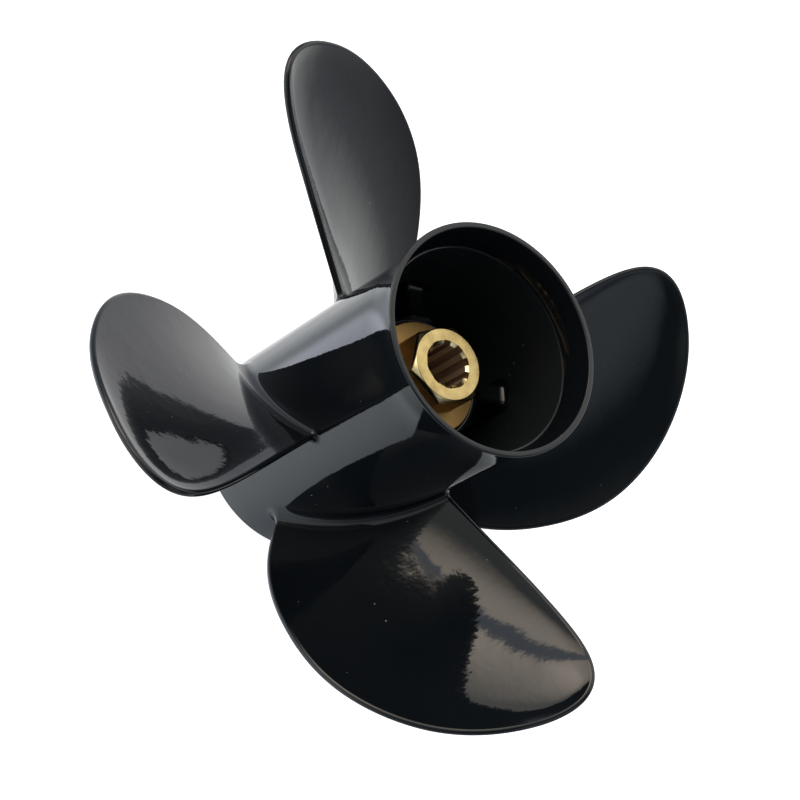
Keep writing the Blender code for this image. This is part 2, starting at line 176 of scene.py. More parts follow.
# %% Stand-in materials
gloss_black = bpy.data.materials.new("gloss_black_paint")
thin_black = bpy.data.materials.new("thin_black_paint")
turned_brass = bpy.data.materials.new("turned_brass")
bush_rubber = bpy.data.materials.new("bush_rubber")
print("materials:", [material.name for material in bpy.data.materials])

# %% [markdown]
# The barrel of the hub is a tube that is almost a cylinder. At its front end a band is machined a
# little smaller, where it runs against the gearcase. At the aft end it swells into a lip, which
# keeps the exhaust from being drawn forward over the blades. The swelling is a concave sweep that
# leaves the barrel without a kink, so it grows with the square of the distance. Inside, a
# small ledge marks where the lip's bore was machined. All of this is one section, spun once. The
# spray of paint hardly reached the wall below that ledge, so its faces get a material of their own.

# %% The hub barrel and its lip
HUB_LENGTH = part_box("tail_ring")[1].z
BARREL_RADIUS = 43.4 * MM
BARREL_TAPER = 0.005               # radius lost for each metre towards the tail
REGISTER_LENGTH = 12.0 * MM
REGISTER_RADIUS = 42.6 * MM
SHOULDER = 0.6 * MM
LIP_RADIUS = 46.0 * MM
LIP_WIDTH = 2.4 * MM
LIP_ROUNDING = 1.05 * MM
FLARE_LENGTH = 21.6 * MM
FLARE_START = HUB_LENGTH - FLARE_LENGTH
LEDGE_DEPTH = 12.7 * MM            # from the mouth down to the ledge in the bore
LEDGE_RADIUS = 40.25 * MM
LEDGE_WIDTH = 0.5 * MM
BORE_TAPER = 0.015
FLARE_STEPS = 15
INNER_FLARE_STEPS = 12
INNER_FLARE_POWER = 1.6            # how late the bore opens towards the mouth


def barrel_radius(height):
    """Outside radius of the hub: almost a cylinder, then a concave swelling up to the mouth."""
    straight = BARREL_RADIUS - BARREL_TAPER * height
    swell = max(height - FLARE_START, 0.0) / FLARE_LENGTH
    return straight + (LIP_RADIUS - BARREL_RADIUS + BARREL_TAPER * HUB_LENGTH) * swell ** 2


def bore_radius(height):
    """Inside radius of the hub below the ledge."""
    return LEDGE_RADIUS - BORE_TAPER * (HUB_LENGTH - LEDGE_DEPTH - height)


def barrel_section():
    """Each corner is a radius, a height and how much it is rounded."""
    ledge = HUB_LENGTH - LEDGE_DEPTH
    outside = [
        (bore_radius(0.0), 0.0, 0.5 * MM),
        (REGISTER_RADIUS, 0.0, 2.0 * MM),
        (REGISTER_RADIUS, REGISTER_LENGTH, 0.3 * MM),
        (barrel_radius(REGISTER_LENGTH + SHOULDER), REGISTER_LENGTH + SHOULDER, 0.4 * MM),
    ]
    flare = np.linspace(FLARE_START, HUB_LENGTH, FLARE_STEPS + 1)[:-1]
    outside += [(barrel_radius(height), height, 0.0) for height in flare]
    mouth = [
        (LIP_RADIUS, HUB_LENGTH, LIP_ROUNDING),
        (LIP_RADIUS - LIP_WIDTH, HUB_LENGTH, LIP_ROUNDING),
    ]
    wide = LEDGE_RADIUS + LEDGE_WIDTH
    opening = LIP_RADIUS - LIP_WIDTH - wide
    inner_flare = [(wide + opening * share ** INNER_FLARE_POWER, ledge + LEDGE_DEPTH * share, 0.0)
                   for share in np.linspace(0.95, 0.05, INNER_FLARE_STEPS)]
    bore = [
        (wide, ledge, 0.1 * MM),
        (LEDGE_RADIUS, ledge, 0.2 * MM),
    ]
    return rounded_outline(outside + mouth + inner_flare + bore)


def barrel_mesh():
    """The barrel, with the wall of its bore below the ledge as a second material."""
    mesh = turned_mesh("casting_barrel", barrel_section())
    for material in (gloss_black, thin_black):
        mesh.materials.append(material)
    bore_limit = LEDGE_RADIUS + LEDGE_WIDTH / 5
    for face in mesh.polygons:
        if math.hypot(face.center.x, face.center.y) < bore_limit:
            face.material_index = 1
    return mesh


place("casting_barrel", barrel_mesh(), gloss_black, ["hub_barrel", "tail_ring"])

# %% [markdown]
# The inner tube carries the rubber bush. It is part of the same casting, so its lips are soft
# and rounded, and it takes the same paint.

# %% The inner tube
TUBE_RADIUS = 25.6 * MM
TUBE_WALL = 2.3 * MM
TUBE_ROUNDING = 0.8 * MM
TUBE_BOTTOM, TUBE_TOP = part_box("inner_tube")[0].z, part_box("inner_tube")[1].z


def tube_section():
    bore = TUBE_RADIUS - TUBE_WALL
    corners = [(bore, TUBE_BOTTOM), (TUBE_RADIUS, TUBE_BOTTOM),
               (TUBE_RADIUS, TUBE_TOP), (bore, TUBE_TOP)]
    return rounded_outline([(*corner, TUBE_ROUNDING) for corner in corners])


place("casting_tube", turned_mesh("casting_tube", tube_section()), gloss_black,
      ["inner_tube"])

# %% [markdown]
# Four thick ribs join the inner tube to the barrel, and the exhaust passes between them. In a
# casting, a rib never meets a wall at a sharp corner: the sand mould and the flow of metal
# need a fillet. A Boolean and a bevel could make one, but the bevel is fragile on a curved
# wall. Here the rib is lofted outwards instead. At each distance from a wall its rounded section
# grows by what a quarter circle would add, so the fillet runs all round the rib and its foot lies
# flat on the wall.

# %% The ribs and their fillets
RIB_THICKNESS = 9.0 * MM
RIB_EDGE = 2.0 * MM
RIB_EDGE_STEPS = 8
RIB_FILLET = 3.0 * MM
RIB_FILLET_STEPS = 10
RIB_SUNK = 0.4 * MM                # the rib's ends go this far into the walls
RIB_SHARP = math.radians(40.0)
RIB_TURN = math.radians(-16.0)
RIB_BOTTOM, RIB_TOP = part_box("rib_1")[0].z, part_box("rib_1")[1].z


def fillet_growth(distance, radius):
    """How far a fillet of that radius stands out at a distance from the wall."""
    if distance >= radius:
        return 0.0
    return radius - math.sqrt(radius ** 2 - (radius - max(distance, 0.0)) ** 2)


def rounded_rectangle(half, low, high, radius, steps=RIB_EDGE_STEPS):
    """A rectangle across Y and Z: for each corner, points of its centre and outward direction."""
    points = []
    for k, (y, z) in enumerate(((half, high), (-half, high), (-half, low), (half, low))):
        centre = (y - math.copysign(radius, y), z - (radius if z == high else -radius))
        for step in range(steps + 1):
            angle = math.pi / 2 * (k + step / steps)
            points.append((centre, (math.cos(angle), math.sin(angle))))
    return points


def rib_mesh():
    section = rounded_rectangle(RIB_THICKNESS / 2, RIB_BOTTOM, RIB_TOP, RIB_EDGE)
    near_wall = [RIB_FILLET * (1.0 - math.cos(math.pi / 2 * k / RIB_FILLET_STEPS))
                 for k in range(RIB_FILLET_STEPS + 1)]
    bm = bmesh.new()
    loops = []

    def add_loop(radius_of, growth):
        loop = []
        for (y, z), (away_y, away_z) in section:
            y += away_y * (RIB_EDGE + growth)
            z += away_z * (RIB_EDGE + growth)
            loop.append(bm.verts.new((math.sqrt(radius_of(z) ** 2 - y ** 2), y, z)))
        loops.append(loop)

    add_loop(lambda z: TUBE_RADIUS - RIB_SUNK, RIB_FILLET)
    for distance in near_wall:
        add_loop(lambda z: TUBE_RADIUS + distance, fillet_growth(distance, RIB_FILLET))
    for distance in near_wall[::-1]:
        add_loop(lambda z: bore_radius(z) - distance, fillet_growth(distance, RIB_FILLET))
    add_loop(lambda z: bore_radius(z) + RIB_SUNK, RIB_FILLET)
    for low, high in zip(loops, loops[1:]):
        for i in range(len(section)):
            j = (i + 1) % len(section)
            bm.faces.new((low[i], low[j], high[j], high[i]))
    bm.faces.new(loops[0])
    bm.faces.new(loops[-1])
    return finish_mesh(bm, "casting_rib", sharp=RIB_SHARP)


rib = rib_mesh()
QUARTER = math.tau / 4
for k in range(4):
    place(f"casting_rib_{k + 1}", rib, gloss_black,
          [f"rib_{k + 1}"], RIB_TURN + k * QUARTER)

# %% [markdown]
# A propeller blade is a piece of a screw thread. Its aft face climbs by the pitch in one full
# turn, and it leans aft towards the tip, which is called rake. So a point on that face needs only
# its radius and its angle. The outline is a short list of radius and angle pairs,
# joined by a smooth curve: up the trailing edge, round the tip and down the leading edge. The
# pairs, the rake and the camera were found by a least-squares fit to the
# propeller's outline and circles in the photograph, and then rounded.

# %% The blade's aft face and outline
PITCH = 318.0 * MM
BLADE_HEIGHT = 67.5 * MM           # of the reference line at RAKE_START
RAKE_START = 46.0 * MM
RAKE_SLOPE = 0.291
RAKE_CURVE = 0.27
RAKE_SWEEP = 8.5
TIP_RADIUS = 139.0 * MM
BLADE_EDGE = [
    (0.0, 10.2), (54.0, 15.3), (94.9, 16.7), (122.6, 15.2), (136.1, 9.8), (138.9, 0.0),
    (134.1, -13.4), (119.6, -27.2), (98.1, -37.1), (68.6, -45.3), (32.2, -48.1),
]


def natural_spline(values):
    """A smooth curve through evenly spaced values, with no bend at its two ends."""
    values = np.asarray(values, float)
    count = len(values)
    system = np.eye(count)
    right = np.zeros(count)
    for i in range(1, count - 1):
        system[i, i - 1:i + 2] = (1.0, 4.0, 1.0)
        right[i] = 6.0 * (values[i - 1] - 2.0 * values[i] + values[i + 1])
    bend = np.linalg.solve(system, right)

    def at(share):
        position = min(max(share, 0.0), 1.0) * (count - 1)
        i = min(int(position), count - 2)
        b = position - i
        a = 1.0 - b
        return (a * values[i] + b * values[i + 1]
                + ((a ** 3 - a) * bend[i] + (b ** 3 - b) * bend[i + 1]) / 6.0)
    return at


edge_radius = natural_spline([radius * MM for radius, angle in BLADE_EDGE])
edge_angle = natural_spline([math.radians(angle) for radius, angle in BLADE_EDGE])


def face_point(radius, angle):
    """The point of the aft face at that radius and angle."""
    out = radius - RAKE_START
    rake = RAKE_SLOPE * out + RAKE_CURVE * out ** 2 + RAKE_SWEEP * out ** 3
    return np.array([*polar(radius, angle), BLADE_HEIGHT + rake + PITCH / math.tau * angle])


def face_normal(radius, angle):
    """Unit normal of the aft face, pointing aft."""
    out = radius - RAKE_START
    slope = RAKE_SLOPE + 2.0 * RAKE_CURVE * out + 3.0 * RAKE_SWEEP * out ** 2
    outward = np.array([math.cos(angle), math.sin(angle), slope])
    around = np.array([-radius * math.sin(angle), radius * math.cos(angle), PITCH / math.tau])
    normal = np.cross(outward, around)
    return normal / np.linalg.norm(normal)


print("blade: climbs", round(PITCH / MM), "mm a turn and leans",
      round((face_point(TIP_RADIUS, 0.0)[2] - BLADE_HEIGHT) / MM), "mm aft at the tip")

# %% [markdown]
# The blade is built from stations, which are slices from the trailing edge to the leading edge.
# Each one starts and ends a little inside the outline, where the flat of the aft face gives way to
# the rounded edge. The outline runs on into the hub, so the first stations have to be looked for:
# a point of the edge at a given distance from the barrel is found by halving a range again and
# again. Stations crowd near the hub, for the fillet, and near the tip, where the outline turns.

# %% The edges of every station
EDGE_THICKNESS = 2.8 * MM
TRAILING_FILLET = 3.0 * MM         # where the blade meets the barrel
LEADING_FILLET = 6.0 * MM
FILLET_STEPS = 14
TIP_STEPS = 96
TIP_SHARE = 0.5                    # the tip is halfway along the outline
TRAILING_ROOT = (0.02, 0.3)        # between these shares each edge meets the barrel
LEADING_ROOT = (0.8, 0.995)
HALVINGS = 40
SHARE_STEP = 0.0005


def edge_frame(share):
    """On the blade's edge: radius, angle, normal, and the direction away from the blade."""
    radius, angle = edge_radius(share), edge_angle(share)
    along = face_point(edge_radius(share + SHARE_STEP), edge_angle(share + SHARE_STEP))
    along -= face_point(edge_radius(share - SHARE_STEP), edge_angle(share - SHARE_STEP))
    normal = face_normal(radius, angle)
    outward = np.cross(normal, along)
    return radius, angle, normal, outward / np.linalg.norm(outward)


def edge_point(share):
    """Radius and angle where the flat of the aft face ends and the rounded edge starts."""
    radius, angle, normal, outward = edge_frame(share)
    moved = face_point(radius, angle) - outward * EDGE_THICKNESS / 2
    return math.hypot(moved[0], moved[1]), math.atan2(moved[1], moved[0])


def edge_share_at(lift, low, high):
    """Where the edge stands that far off the barrel, found by halving between two shares."""
    def above(share):
        radius, angle = edge_point(share)
        return radius - barrel_radius(face_point(radius, angle)[2]) - lift
    rising = above(high) > above(low)
    for _ in range(HALVINGS):
        middle = (low + high) / 2
        if (above(middle) < 0.0) == rising:
            low = middle
        else:
            high = middle
    return (low + high) / 2


def blade_rows():
    """Stations from root to tip: height off the hub in the fillet, then two edge shares."""
    rows = []
    for step in range(FILLET_STEPS + 1):
        lift = LEADING_FILLET * (1.0 - math.cos(math.pi / 2 * step / FILLET_STEPS))
        rows.append((lift, edge_share_at(lift, *TRAILING_ROOT), edge_share_at(lift, *LEADING_ROOT)))
    trailing, leading = rows[-1][1:]
    for step in range(1, TIP_STEPS + 1):
        share = math.sin(math.pi / 2 * step / TIP_STEPS)
        rows.append((None, trailing + (TIP_SHARE - trailing) * share,
                     leading + (TIP_SHARE - leading) * share))
    return rows


rows = blade_rows()
print("blade:", len(rows), "stations,", FILLET_STEPS + 1, "of them in the fillet")

# %% [markdown]
# The blade has its thickness on the forward face. It is thickest near the root and on the middle
# line, and its edge is a half round of about 3 mm, which draws the thin bright line round each
# blade in the photograph. Along the trailing edge and round the tip the last 18 mm curl aft by a
# little over a millimetre. That is the cup, which helps the blade to grip. Its last few
# millimetres curl harder still. A gloss finish shows both, as a dark band beside the edge and a
# thin bright line along it.

# %% Thickness, cup and curl
ROOT_THICKNESS = 9.5 * MM
TIP_THICKNESS = 3.6 * MM
THINNING = 1.3                     # how early the blade thins towards the tip
CUP_HEIGHT = 1.3 * MM
CUP_WIDTH = 18.0 * MM
CUP_FADE_IN = (0.05, 0.2)          # along the outline, as shares of its length
CUP_FADE_OUT = (0.5, 0.62)
CURL_HEIGHT = 0.45 * MM            # the harder curl beside the same edge
CURL_WIDTH = 6.0 * MM


def fade(value, start, end):
    """0 before start, 1 after end and a smooth step between."""
    share = min(max((value - start) / (end - start), 0.0), 1.0)
    return share * share * (3.0 - 2.0 * share)


def thickness(radius, inward):
    """Blade thickness: inward is 0 at the edge and 1 on the spine."""
    reach = min(max((radius - BARREL_RADIUS) / (TIP_RADIUS - BARREL_RADIUS), 0.0), 1.0)
    middle = TIP_THICKNESS + (ROOT_THICKNESS - TIP_THICKNESS) * (1.0 - reach) ** THINNING
    return EDGE_THICKNESS + (middle - EDGE_THICKNESS) * inward ** 2 * (3.0 - 2.0 * inward)


def cup(share, from_edge):
    """Height and tilt of the cup and its curl at distances from the edge."""
    amount = fade(share, *CUP_FADE_IN) * (1.0 - fade(share, *CUP_FADE_OUT))
    height, slope = 0.0, 0.0
    for top, width in ((CUP_HEIGHT * amount, CUP_WIDTH), (CURL_HEIGHT * amount, CURL_WIDTH)):
        near = np.clip(1.0 - from_edge / width, 0.0, 1.0)
        height += top * near ** 2
        slope += 2.0 * top * near / width
    return height[:, None], np.arctan(slope)[:, None]


print("blade: thickness", [round(thickness(r * MM, 1.0) / MM, 1) for r in (50, 80, 110, 135)],
      "mm on its middle line")

# %% [markdown]
# The two halves of a station meet on the blade's middle line, called the spine here. Each half has
# points on the aft face, the same points moved forward by the thickness, and a round edge that
# joins them. In the fillet both faces are spread apart, and each point is then seated at its own
# height over the barrel. The whole station is a closed loop: along the aft face, round the leading
# edge, back along the forward face and round the trailing edge. Points crowd towards the edges,
# where the surface turns fastest.

# %% One station
SPINE_END = (96.0 * MM, math.radians(-9.0))
SPINE_SHARE = 0.33
CHORD_STEPS = 26
RIM_STEPS = 12


def seat_on_hub(point, lift):
    """Move a point straight out from the axis until it stands that far off the barrel."""
    x, y = polar(barrel_radius(point[2]) + lift, math.atan2(point[1], point[0]))
    return np.array([x, y, point[2]])


def spine_point(row, fillet_row):
    """Radius and angle where the two halves of a station meet."""
    if row[0] is not None:
        ends = edge_point(row[1]), edge_point(row[2])
        return [(a + b) / 2 for a, b in zip(*ends)]
    start = spine_point(fillet_row, fillet_row)
    along = min((row[1] - fillet_row[1]) / (SPINE_SHARE - fillet_row[1]), 1.0)
    return [a + (b - a) * along for a, b in zip(start, SPINE_END)]


def fillet_spread(lift, along):
    """How far the fillet stands out; along is 0 at the trailing edge and 1 at the leading edge."""
    if lift is None:
        return 0.0
    return fillet_growth(lift, TRAILING_FILLET + (LEADING_FILLET - TRAILING_FILLET) * along)


def half_station(share, trailing, spine, lift):
    """From one edge to the spine: points of the aft and the forward face, and the round edge."""
    end = edge_point(share)
    inwards = [1.0 - math.cos(math.pi / 2 * step / CHORD_STEPS) for step in range(CHORD_STEPS + 1)]
    spots = [[a + (b - a) * inward for a, b in zip(end, spine)] for inward in inwards]
    face = np.array([face_point(*spot) for spot in spots])
    normal = np.array([face_normal(*spot) for spot in spots])
    from_edge = np.concatenate([[0.0], np.cumsum(np.linalg.norm(np.diff(face, axis=0), axis=1))])
    outward = -np.gradient(face, axis=0)
    outward -= (outward * normal).sum(axis=1)[:, None] * normal
    outward /= np.linalg.norm(outward, axis=1)[:, None]
    height, tilt = cup(share, from_edge)
    surface = face + normal * height
    tilted = normal * np.cos(tilt) - outward * np.sin(tilt)
    depth = np.array([thickness(spot[0], inward) for spot, inward in zip(spots, inwards)])
    along = [inward / 2 if trailing else 1.0 - inward / 2 for inward in inwards]
    spread = np.array([fillet_spread(lift, share_along) for share_along in along])
    aft = surface + tilted * spread[:, None]
    forward = surface - tilted * (depth + spread)[:, None]
    edge_normal, edge_outward = edge_frame(share)[2:]
    across = edge_normal * math.cos(tilt[0, 0]) - edge_outward * math.sin(tilt[0, 0])
    away = edge_outward * math.cos(tilt[0, 0]) + edge_normal * math.sin(tilt[0, 0])
    middle = surface[0] - across * EDGE_THICKNESS / 2
    reach = EDGE_THICKNESS / 2 + spread[0]
    rim = [middle + reach * (math.cos(turn) * across + math.sin(turn) * away)
           for turn in (math.pi * step / RIM_STEPS for step in range(1, RIM_STEPS))]
    return list(aft), list(forward), rim


def station_loop(row, fillet_row):
    """A closed loop round the blade: aft face, leading edge, forward face, trailing edge."""
    lift, trailing, leading = row
    spine = spine_point(row, fillet_row)
    trailing_half = half_station(trailing, True, spine, lift)
    leading_half = half_station(leading, False, spine, lift)
    aft, forward = (trailing_half[k] + leading_half[k][-2::-1] for k in (0, 1))
    loop = aft + leading_half[2] + forward[::-1] + trailing_half[2][::-1]
    return loop if lift is None else [seat_on_hub(point, lift) for point in loop]


print("blade:", len(station_loop(rows[-1], rows[FILLET_STEPS])), "points in a station")

# %% [markdown]
# The root fillet uses the same idea as the ribs: its stations are seated on the barrel, each at its
# own height, and spread by what a quarter circle adds. It is 3 mm at the trailing edge and grows to
# 6 mm at the leading edge, where the blade carries more. Its foot is tangent to the barrel. Under
# the surface the loop shrinks onto its own middle line, which closes the mesh where nobody sees
# it. The four blades share this one mesh, each turned by a quarter.

# %% The four blades
CAP_STEPS = 4
CAP_DEPTH = 0.5 * MM


def root_cap_loops(loop):
    """Shrink the root's loop under the barrel's surface onto its own middle line."""
    count = 2 * CHORD_STEPS + 1
    rim = RIM_STEPS - 1
    aft, forward = loop[:count], loop[count + rim:2 * count + rim][::-1]
    line = [(a + b) / 2 for a, b in zip(aft, forward)]
    middles = line + [line[-1]] * rim + line[::-1] + [line[0]] * rim
    shares = [step / CAP_STEPS for step in range(CAP_STEPS, -1, -1)]
    return [[seat_on_hub(point + (middle - point) * share, -CAP_DEPTH)
             for point, middle in zip(loop, middles)] for share in shares]


def blade_mesh():
    """Join the stations' loops by faces, from the hidden cap at the root to the tip."""
    fillet_row = rows[FILLET_STEPS]
    loops = [station_loop(row, fillet_row) for row in rows]
    bm = bmesh.new()
    rings = [[bm.verts.new(point) for point in loop] for loop in root_cap_loops(loops[0]) + loops]
    count = len(rings[0])
    for low, high in zip(rings, rings[1:]):
        for i in range(count):
            j = (i + 1) % count
            bm.faces.new((low[i], low[j], high[j], high[i]))
    return finish_mesh(bm, "casting_blade")


blade = blade_mesh()
for k in range(4):
    place(f"casting_blade_{k + 1}", blade, gloss_black,
          [f"blade_{k + 1}"], k * QUARTER)

# %% [markdown]
# The brass sleeve is turned from bar: a flange that seats on the bush, a hexagon with a turned
# chamfer, and a bore with ten grooves broached through it. A Boolean would cut all of this, but
# its edges would come out knife sharp. So the turned section is kept, and made to depend on the
# angle: the hexagon decides how far out it reaches, the grooves how far in. Each section has its
# corners rounded by the same helper, and neighbouring sections are joined by faces.

# %% The sleeve's sizes
HEX_APOTHEM = 14.35 * MM           # half of the width across flats
HEX_CORNER = 0.5 * MM
HEX_TURN = math.radians(-0.3)
HEX_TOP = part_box("drive_sleeve")[1].z
HEX_FACE = 14.2 * MM               # radius of the turned end face
HEX_SLOPE = math.tan(math.radians(36.0))
FLANGE_RADIUS = 23.0 * MM
FLANGE_TOP = 100.2 * MM
FLANGE_THICKNESS = 3.5 * MM
SLEEVE_RADIUS = 13.4 * MM
SLEEVE_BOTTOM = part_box("drive_sleeve")[0].z
SPLINES = 10
SPLINE_TURN = math.radians(18.2)
SPLINE_ROOT = 9.7 * MM
SPLINE_TIP = 8.3 * MM
SPLINE_GROOVE = 3.0 * MM
BORE_MOUTH = 9.6 * MM
MOUTH_SLOPE = math.tan(math.radians(35.0))
SMALLEST_CUT = 0.1 * MM            # what the chamfers take off where the shape leaves little
print("sleeve:", round(2 * HEX_APOTHEM / MM, 1), "mm across flats,", SPLINES, "grooves,",
      round(2 * SPLINE_ROOT / MM, 1), "mm across them")


# %% The hexagon and the splined bore as functions of the angle
def from_nearest(angle, turn, period):
    """Angle measured from the nearest of the directions that repeat every period."""
    return (angle - turn + period / 2) % period - period / 2


def hexagon_reach(angle):
    """Distance from the axis to the hexagon, with its corners rounded."""
    off = abs(from_nearest(angle, HEX_TURN + math.pi / 6, math.pi / 3))
    centre = (HEX_APOTHEM - HEX_CORNER) / math.cos(math.pi / 6)
    tangent = math.atan2(HEX_CORNER / 2, centre + HEX_CORNER * math.cos(math.pi / 6))
    if off < tangent:
        return centre * math.cos(off) + math.sqrt(HEX_CORNER ** 2 - (centre * math.sin(off)) ** 2)
    return HEX_APOTHEM / math.cos(math.pi / 6 - off)


def bore_reach(angle):
    """Distance from the axis to the splined bore: parallel-sided grooves, round lands."""
    off = abs(from_nearest(angle, SPLINE_TURN, math.tau / SPLINES))
    side = SPLINE_GROOVE / 2 / max(math.sin(off), 1e-6)
    return min(max(side, SPLINE_TIP), SPLINE_ROOT)


print("sleeve:", round(hexagon_reach(HEX_TURN + math.pi / 6) / MM, 2), "mm to a corner,",
      round(bore_reach(SPLINE_TURN) / MM, 2), "mm to the bottom of a groove")

# %% [markdown]
# Sections at even steps would miss the grooves' straight sides and cut off the hexagon's corners.
# So extra sections are put exactly where a groove's side runs and round each corner.

# %% The sleeve, joined from its sections
SLEEVE_ROUNDING_STEPS = 4
SLEEVE_STEPS = 300
GROOVE_STEPS = 6
CORNER_STEPS = 4
LEAST_STEP = 0.0005                # sections closer than this angle are dropped
SLEEVE_SHARP = math.radians(32.0)


def sleeve_section(angle):
    """The section at one angle: each corner is a radius, a height and how much it is rounded."""
    reach = hexagon_reach(angle)
    bore = bore_reach(angle)
    mouth = max(BORE_MOUTH, bore + SMALLEST_CUT)
    countersink = (mouth - bore) * MOUTH_SLOPE
    face = min(HEX_FACE, reach - SMALLEST_CUT)
    flange_bottom = FLANGE_TOP - FLANGE_THICKNESS
    return rounded_outline([
        (bore, SLEEVE_BOTTOM + countersink, 0.1 * MM),
        (mouth, SLEEVE_BOTTOM, 0.1 * MM),
        (SLEEVE_RADIUS, SLEEVE_BOTTOM, 0.6 * MM),
        (SLEEVE_RADIUS, flange_bottom, 0.0),
        (FLANGE_RADIUS, flange_bottom, 0.4 * MM),
        (FLANGE_RADIUS, FLANGE_TOP, 0.5 * MM),
        (reach, FLANGE_TOP, 0.3 * MM),
        (reach, HEX_TOP - (reach - face) * HEX_SLOPE, 0.2 * MM),
        (face, HEX_TOP, 0.4 * MM),
        (mouth, HEX_TOP, 0.15 * MM),
        (bore, HEX_TOP - countersink, 0.12 * MM),
    ], steps=SLEEVE_ROUNDING_STEPS)


def sleeve_angles():
    """Even steps round the axis, with more of them at the grooves' sides and the corners."""
    angles = [math.tau * step / SLEEVE_STEPS for step in range(SLEEVE_STEPS)]
    for k in range(SPLINES):
        middle = SPLINE_TURN + math.tau * k / SPLINES
        for step in range(GROOVE_STEPS + 1):
            radius = SPLINE_TIP + (SPLINE_ROOT - SPLINE_TIP) * step / GROOVE_STEPS
            side = math.asin(SPLINE_GROOVE / 2 / radius)
            angles += [middle - side, middle + side]
    for k in range(6):
        corner = HEX_TURN + math.pi / 6 + math.pi / 3 * k
        angles += [corner + HEX_CORNER / HEX_APOTHEM * 0.5 * step / CORNER_STEPS
                   for step in range(-CORNER_STEPS, CORNER_STEPS + 1)]
    angles = sorted(angle % math.tau for angle in angles)
    return [a for a, b in zip(angles, angles[1:] + [angles[0] + math.tau]) if b - a > LEAST_STEP]


def sleeve_mesh():
    bm = bmesh.new()
    sections = []
    for angle in sleeve_angles():
        sections.append([bm.verts.new((*polar(radius, angle), height))
                         for radius, height in sleeve_section(angle)])
    count = len(sections[0])
    for here, there in zip(sections, sections[1:] + sections[:1]):
        for i in range(count):
            j = (i + 1) % count
            bm.faces.new((here[i], there[i], there[j], here[j]))
    return finish_mesh(bm, "brass_sleeve", sharp=SLEEVE_SHARP)


place("brass_sleeve", sleeve_mesh(), turned_brass, ["drive_sleeve"])

# %% [markdown]
# Only the front end of the rubber bush can be seen, deep in the hub. Rubber that is moulded
# between two metal tubes draws in a little as it cools, so its end face is dished.

# %% The rubber bush
BUSH_DISH = 1.2 * MM
BUSH_GAP = 0.3 * MM                # between the rubber and the sleeve
BUSH_ROUNDING = 0.3 * MM
DISH_STEPS = 8
BUSH_TURN_STEPS = 128


def bush_section():
    low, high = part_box("rubber_bush")
    outside = high.x
    inside = SLEEVE_RADIUS + BUSH_GAP
    dished = []
    for share in (step / DISH_STEPS for step in range(DISH_STEPS + 1)):
        dished.append((inside + (outside - inside) * share,
                       low.z + BUSH_DISH * 4.0 * share * (1.0 - share), 0.0))
    back = [(outside, high.z, BUSH_ROUNDING), (inside, high.z, BUSH_ROUNDING)]
    return rounded_outline(dished + back)


place("bush_skin", turned_mesh("bush_skin", bush_section(), segments=BUSH_TURN_STEPS), bush_rubber,
      ["rubber_bush"])

# %% [markdown]
# Now the finishes. Three effects are used by more than one of them, so each is a node group that
# is built once, with its own inputs. All of them read object coordinates, in metres, so a size
# in millimetres can be typed straight in, and nothing slides when the piece moves. This helper
# makes an empty group with named sockets.

# %% Helpers for node groups
def new_group(name, inputs, outputs):
    """An empty node group: inputs are (name, type, default), outputs are (name, type)."""
    group = bpy.data.node_groups.new(name, "ShaderNodeTree")
    for label, kind, default in inputs:
        socket = group.interface.new_socket(label, in_out="INPUT", socket_type=kind)
        socket.default_value = default
    for label, kind in outputs:
        group.interface.new_socket(label, in_out="OUTPUT", socket_type=kind)
    return group, group.nodes.new("NodeGroupInput"), group.nodes.new("NodeGroupOutput")


def find_input(node, key):
    """A node's input by its number, as in n0, or by its name with _ for each space."""
    if key[0] == "n" and key[1:].isdigit():
        return node.inputs[int(key[1:])]
    return node.inputs[key.replace("_", " ")]


def add_node(tree, kind, settings=None, **inputs):
    """Add a node, set its options, and link or fill the inputs that are given."""
    node = tree.nodes.new(kind)
    for key, value in (settings or {}).items():
        setattr(node, key, value)
    for key, value in inputs.items():
        if isinstance(value, bpy.types.NodeSocket):
            tree.links.new(value, find_input(node, key))
        else:
            find_input(node, key).default_value = value
    return node


def calculate(tree, operation, first, second=0.0, **settings):
    """A Math node of one operation, as its output socket."""
    settings["operation"] = operation
    return add_node(tree, "ShaderNodeMath", settings, n0=first, n1=second).outputs[0]


def object_place(tree):
    """The point that is shaded, in the piece's own metres."""
    return add_node(tree, "ShaderNodeTexCoord").outputs["Object"]


# %% [markdown]
# Sprayed paint never lies quite flat. It dries with a faint ripple, called orange peel, and below
# it the casting was ground by hand, which leaves slower waves. Neither shows as colour. They show
# where a reflection ends: its edge turns ragged. Moulded rubber and turned brass have the same
# kind of unevenness at other sizes, so this group takes the size of its waves.

# %% Ripple
def make_ripple():
    group, given, out = new_group("ripple", [("Wave Size", "NodeSocketFloat", 3.0 * MM)],
                                  [("Height", "NodeSocketFloat")])
    frequency = calculate(group, "DIVIDE", 1.0, given.outputs["Wave Size"])
    noise = add_node(group, "ShaderNodeTexNoise", Vector=object_place(group), Scale=frequency,
                     Detail=1.5, Roughness=0.5)
    group.links.new(noise.outputs["Fac"], out.inputs["Height"])
    return group


ripple = make_ripple()
print("group:", ripple.name, [item.name for item in ripple.interface.items_tree])

# %% [markdown]
# Dust settles on wet paint and on rubber. The photograph shows it as a few pale specks. A Voronoi
# texture drops one point into each cell of a grid. The cell's random colour decides whether
# that point becomes a speck, and its distance decides the speck's size.

# %% Dust specks
SMALLEST_SPECK = 0.4               # as a share of the given speck size; the largest are 1.4


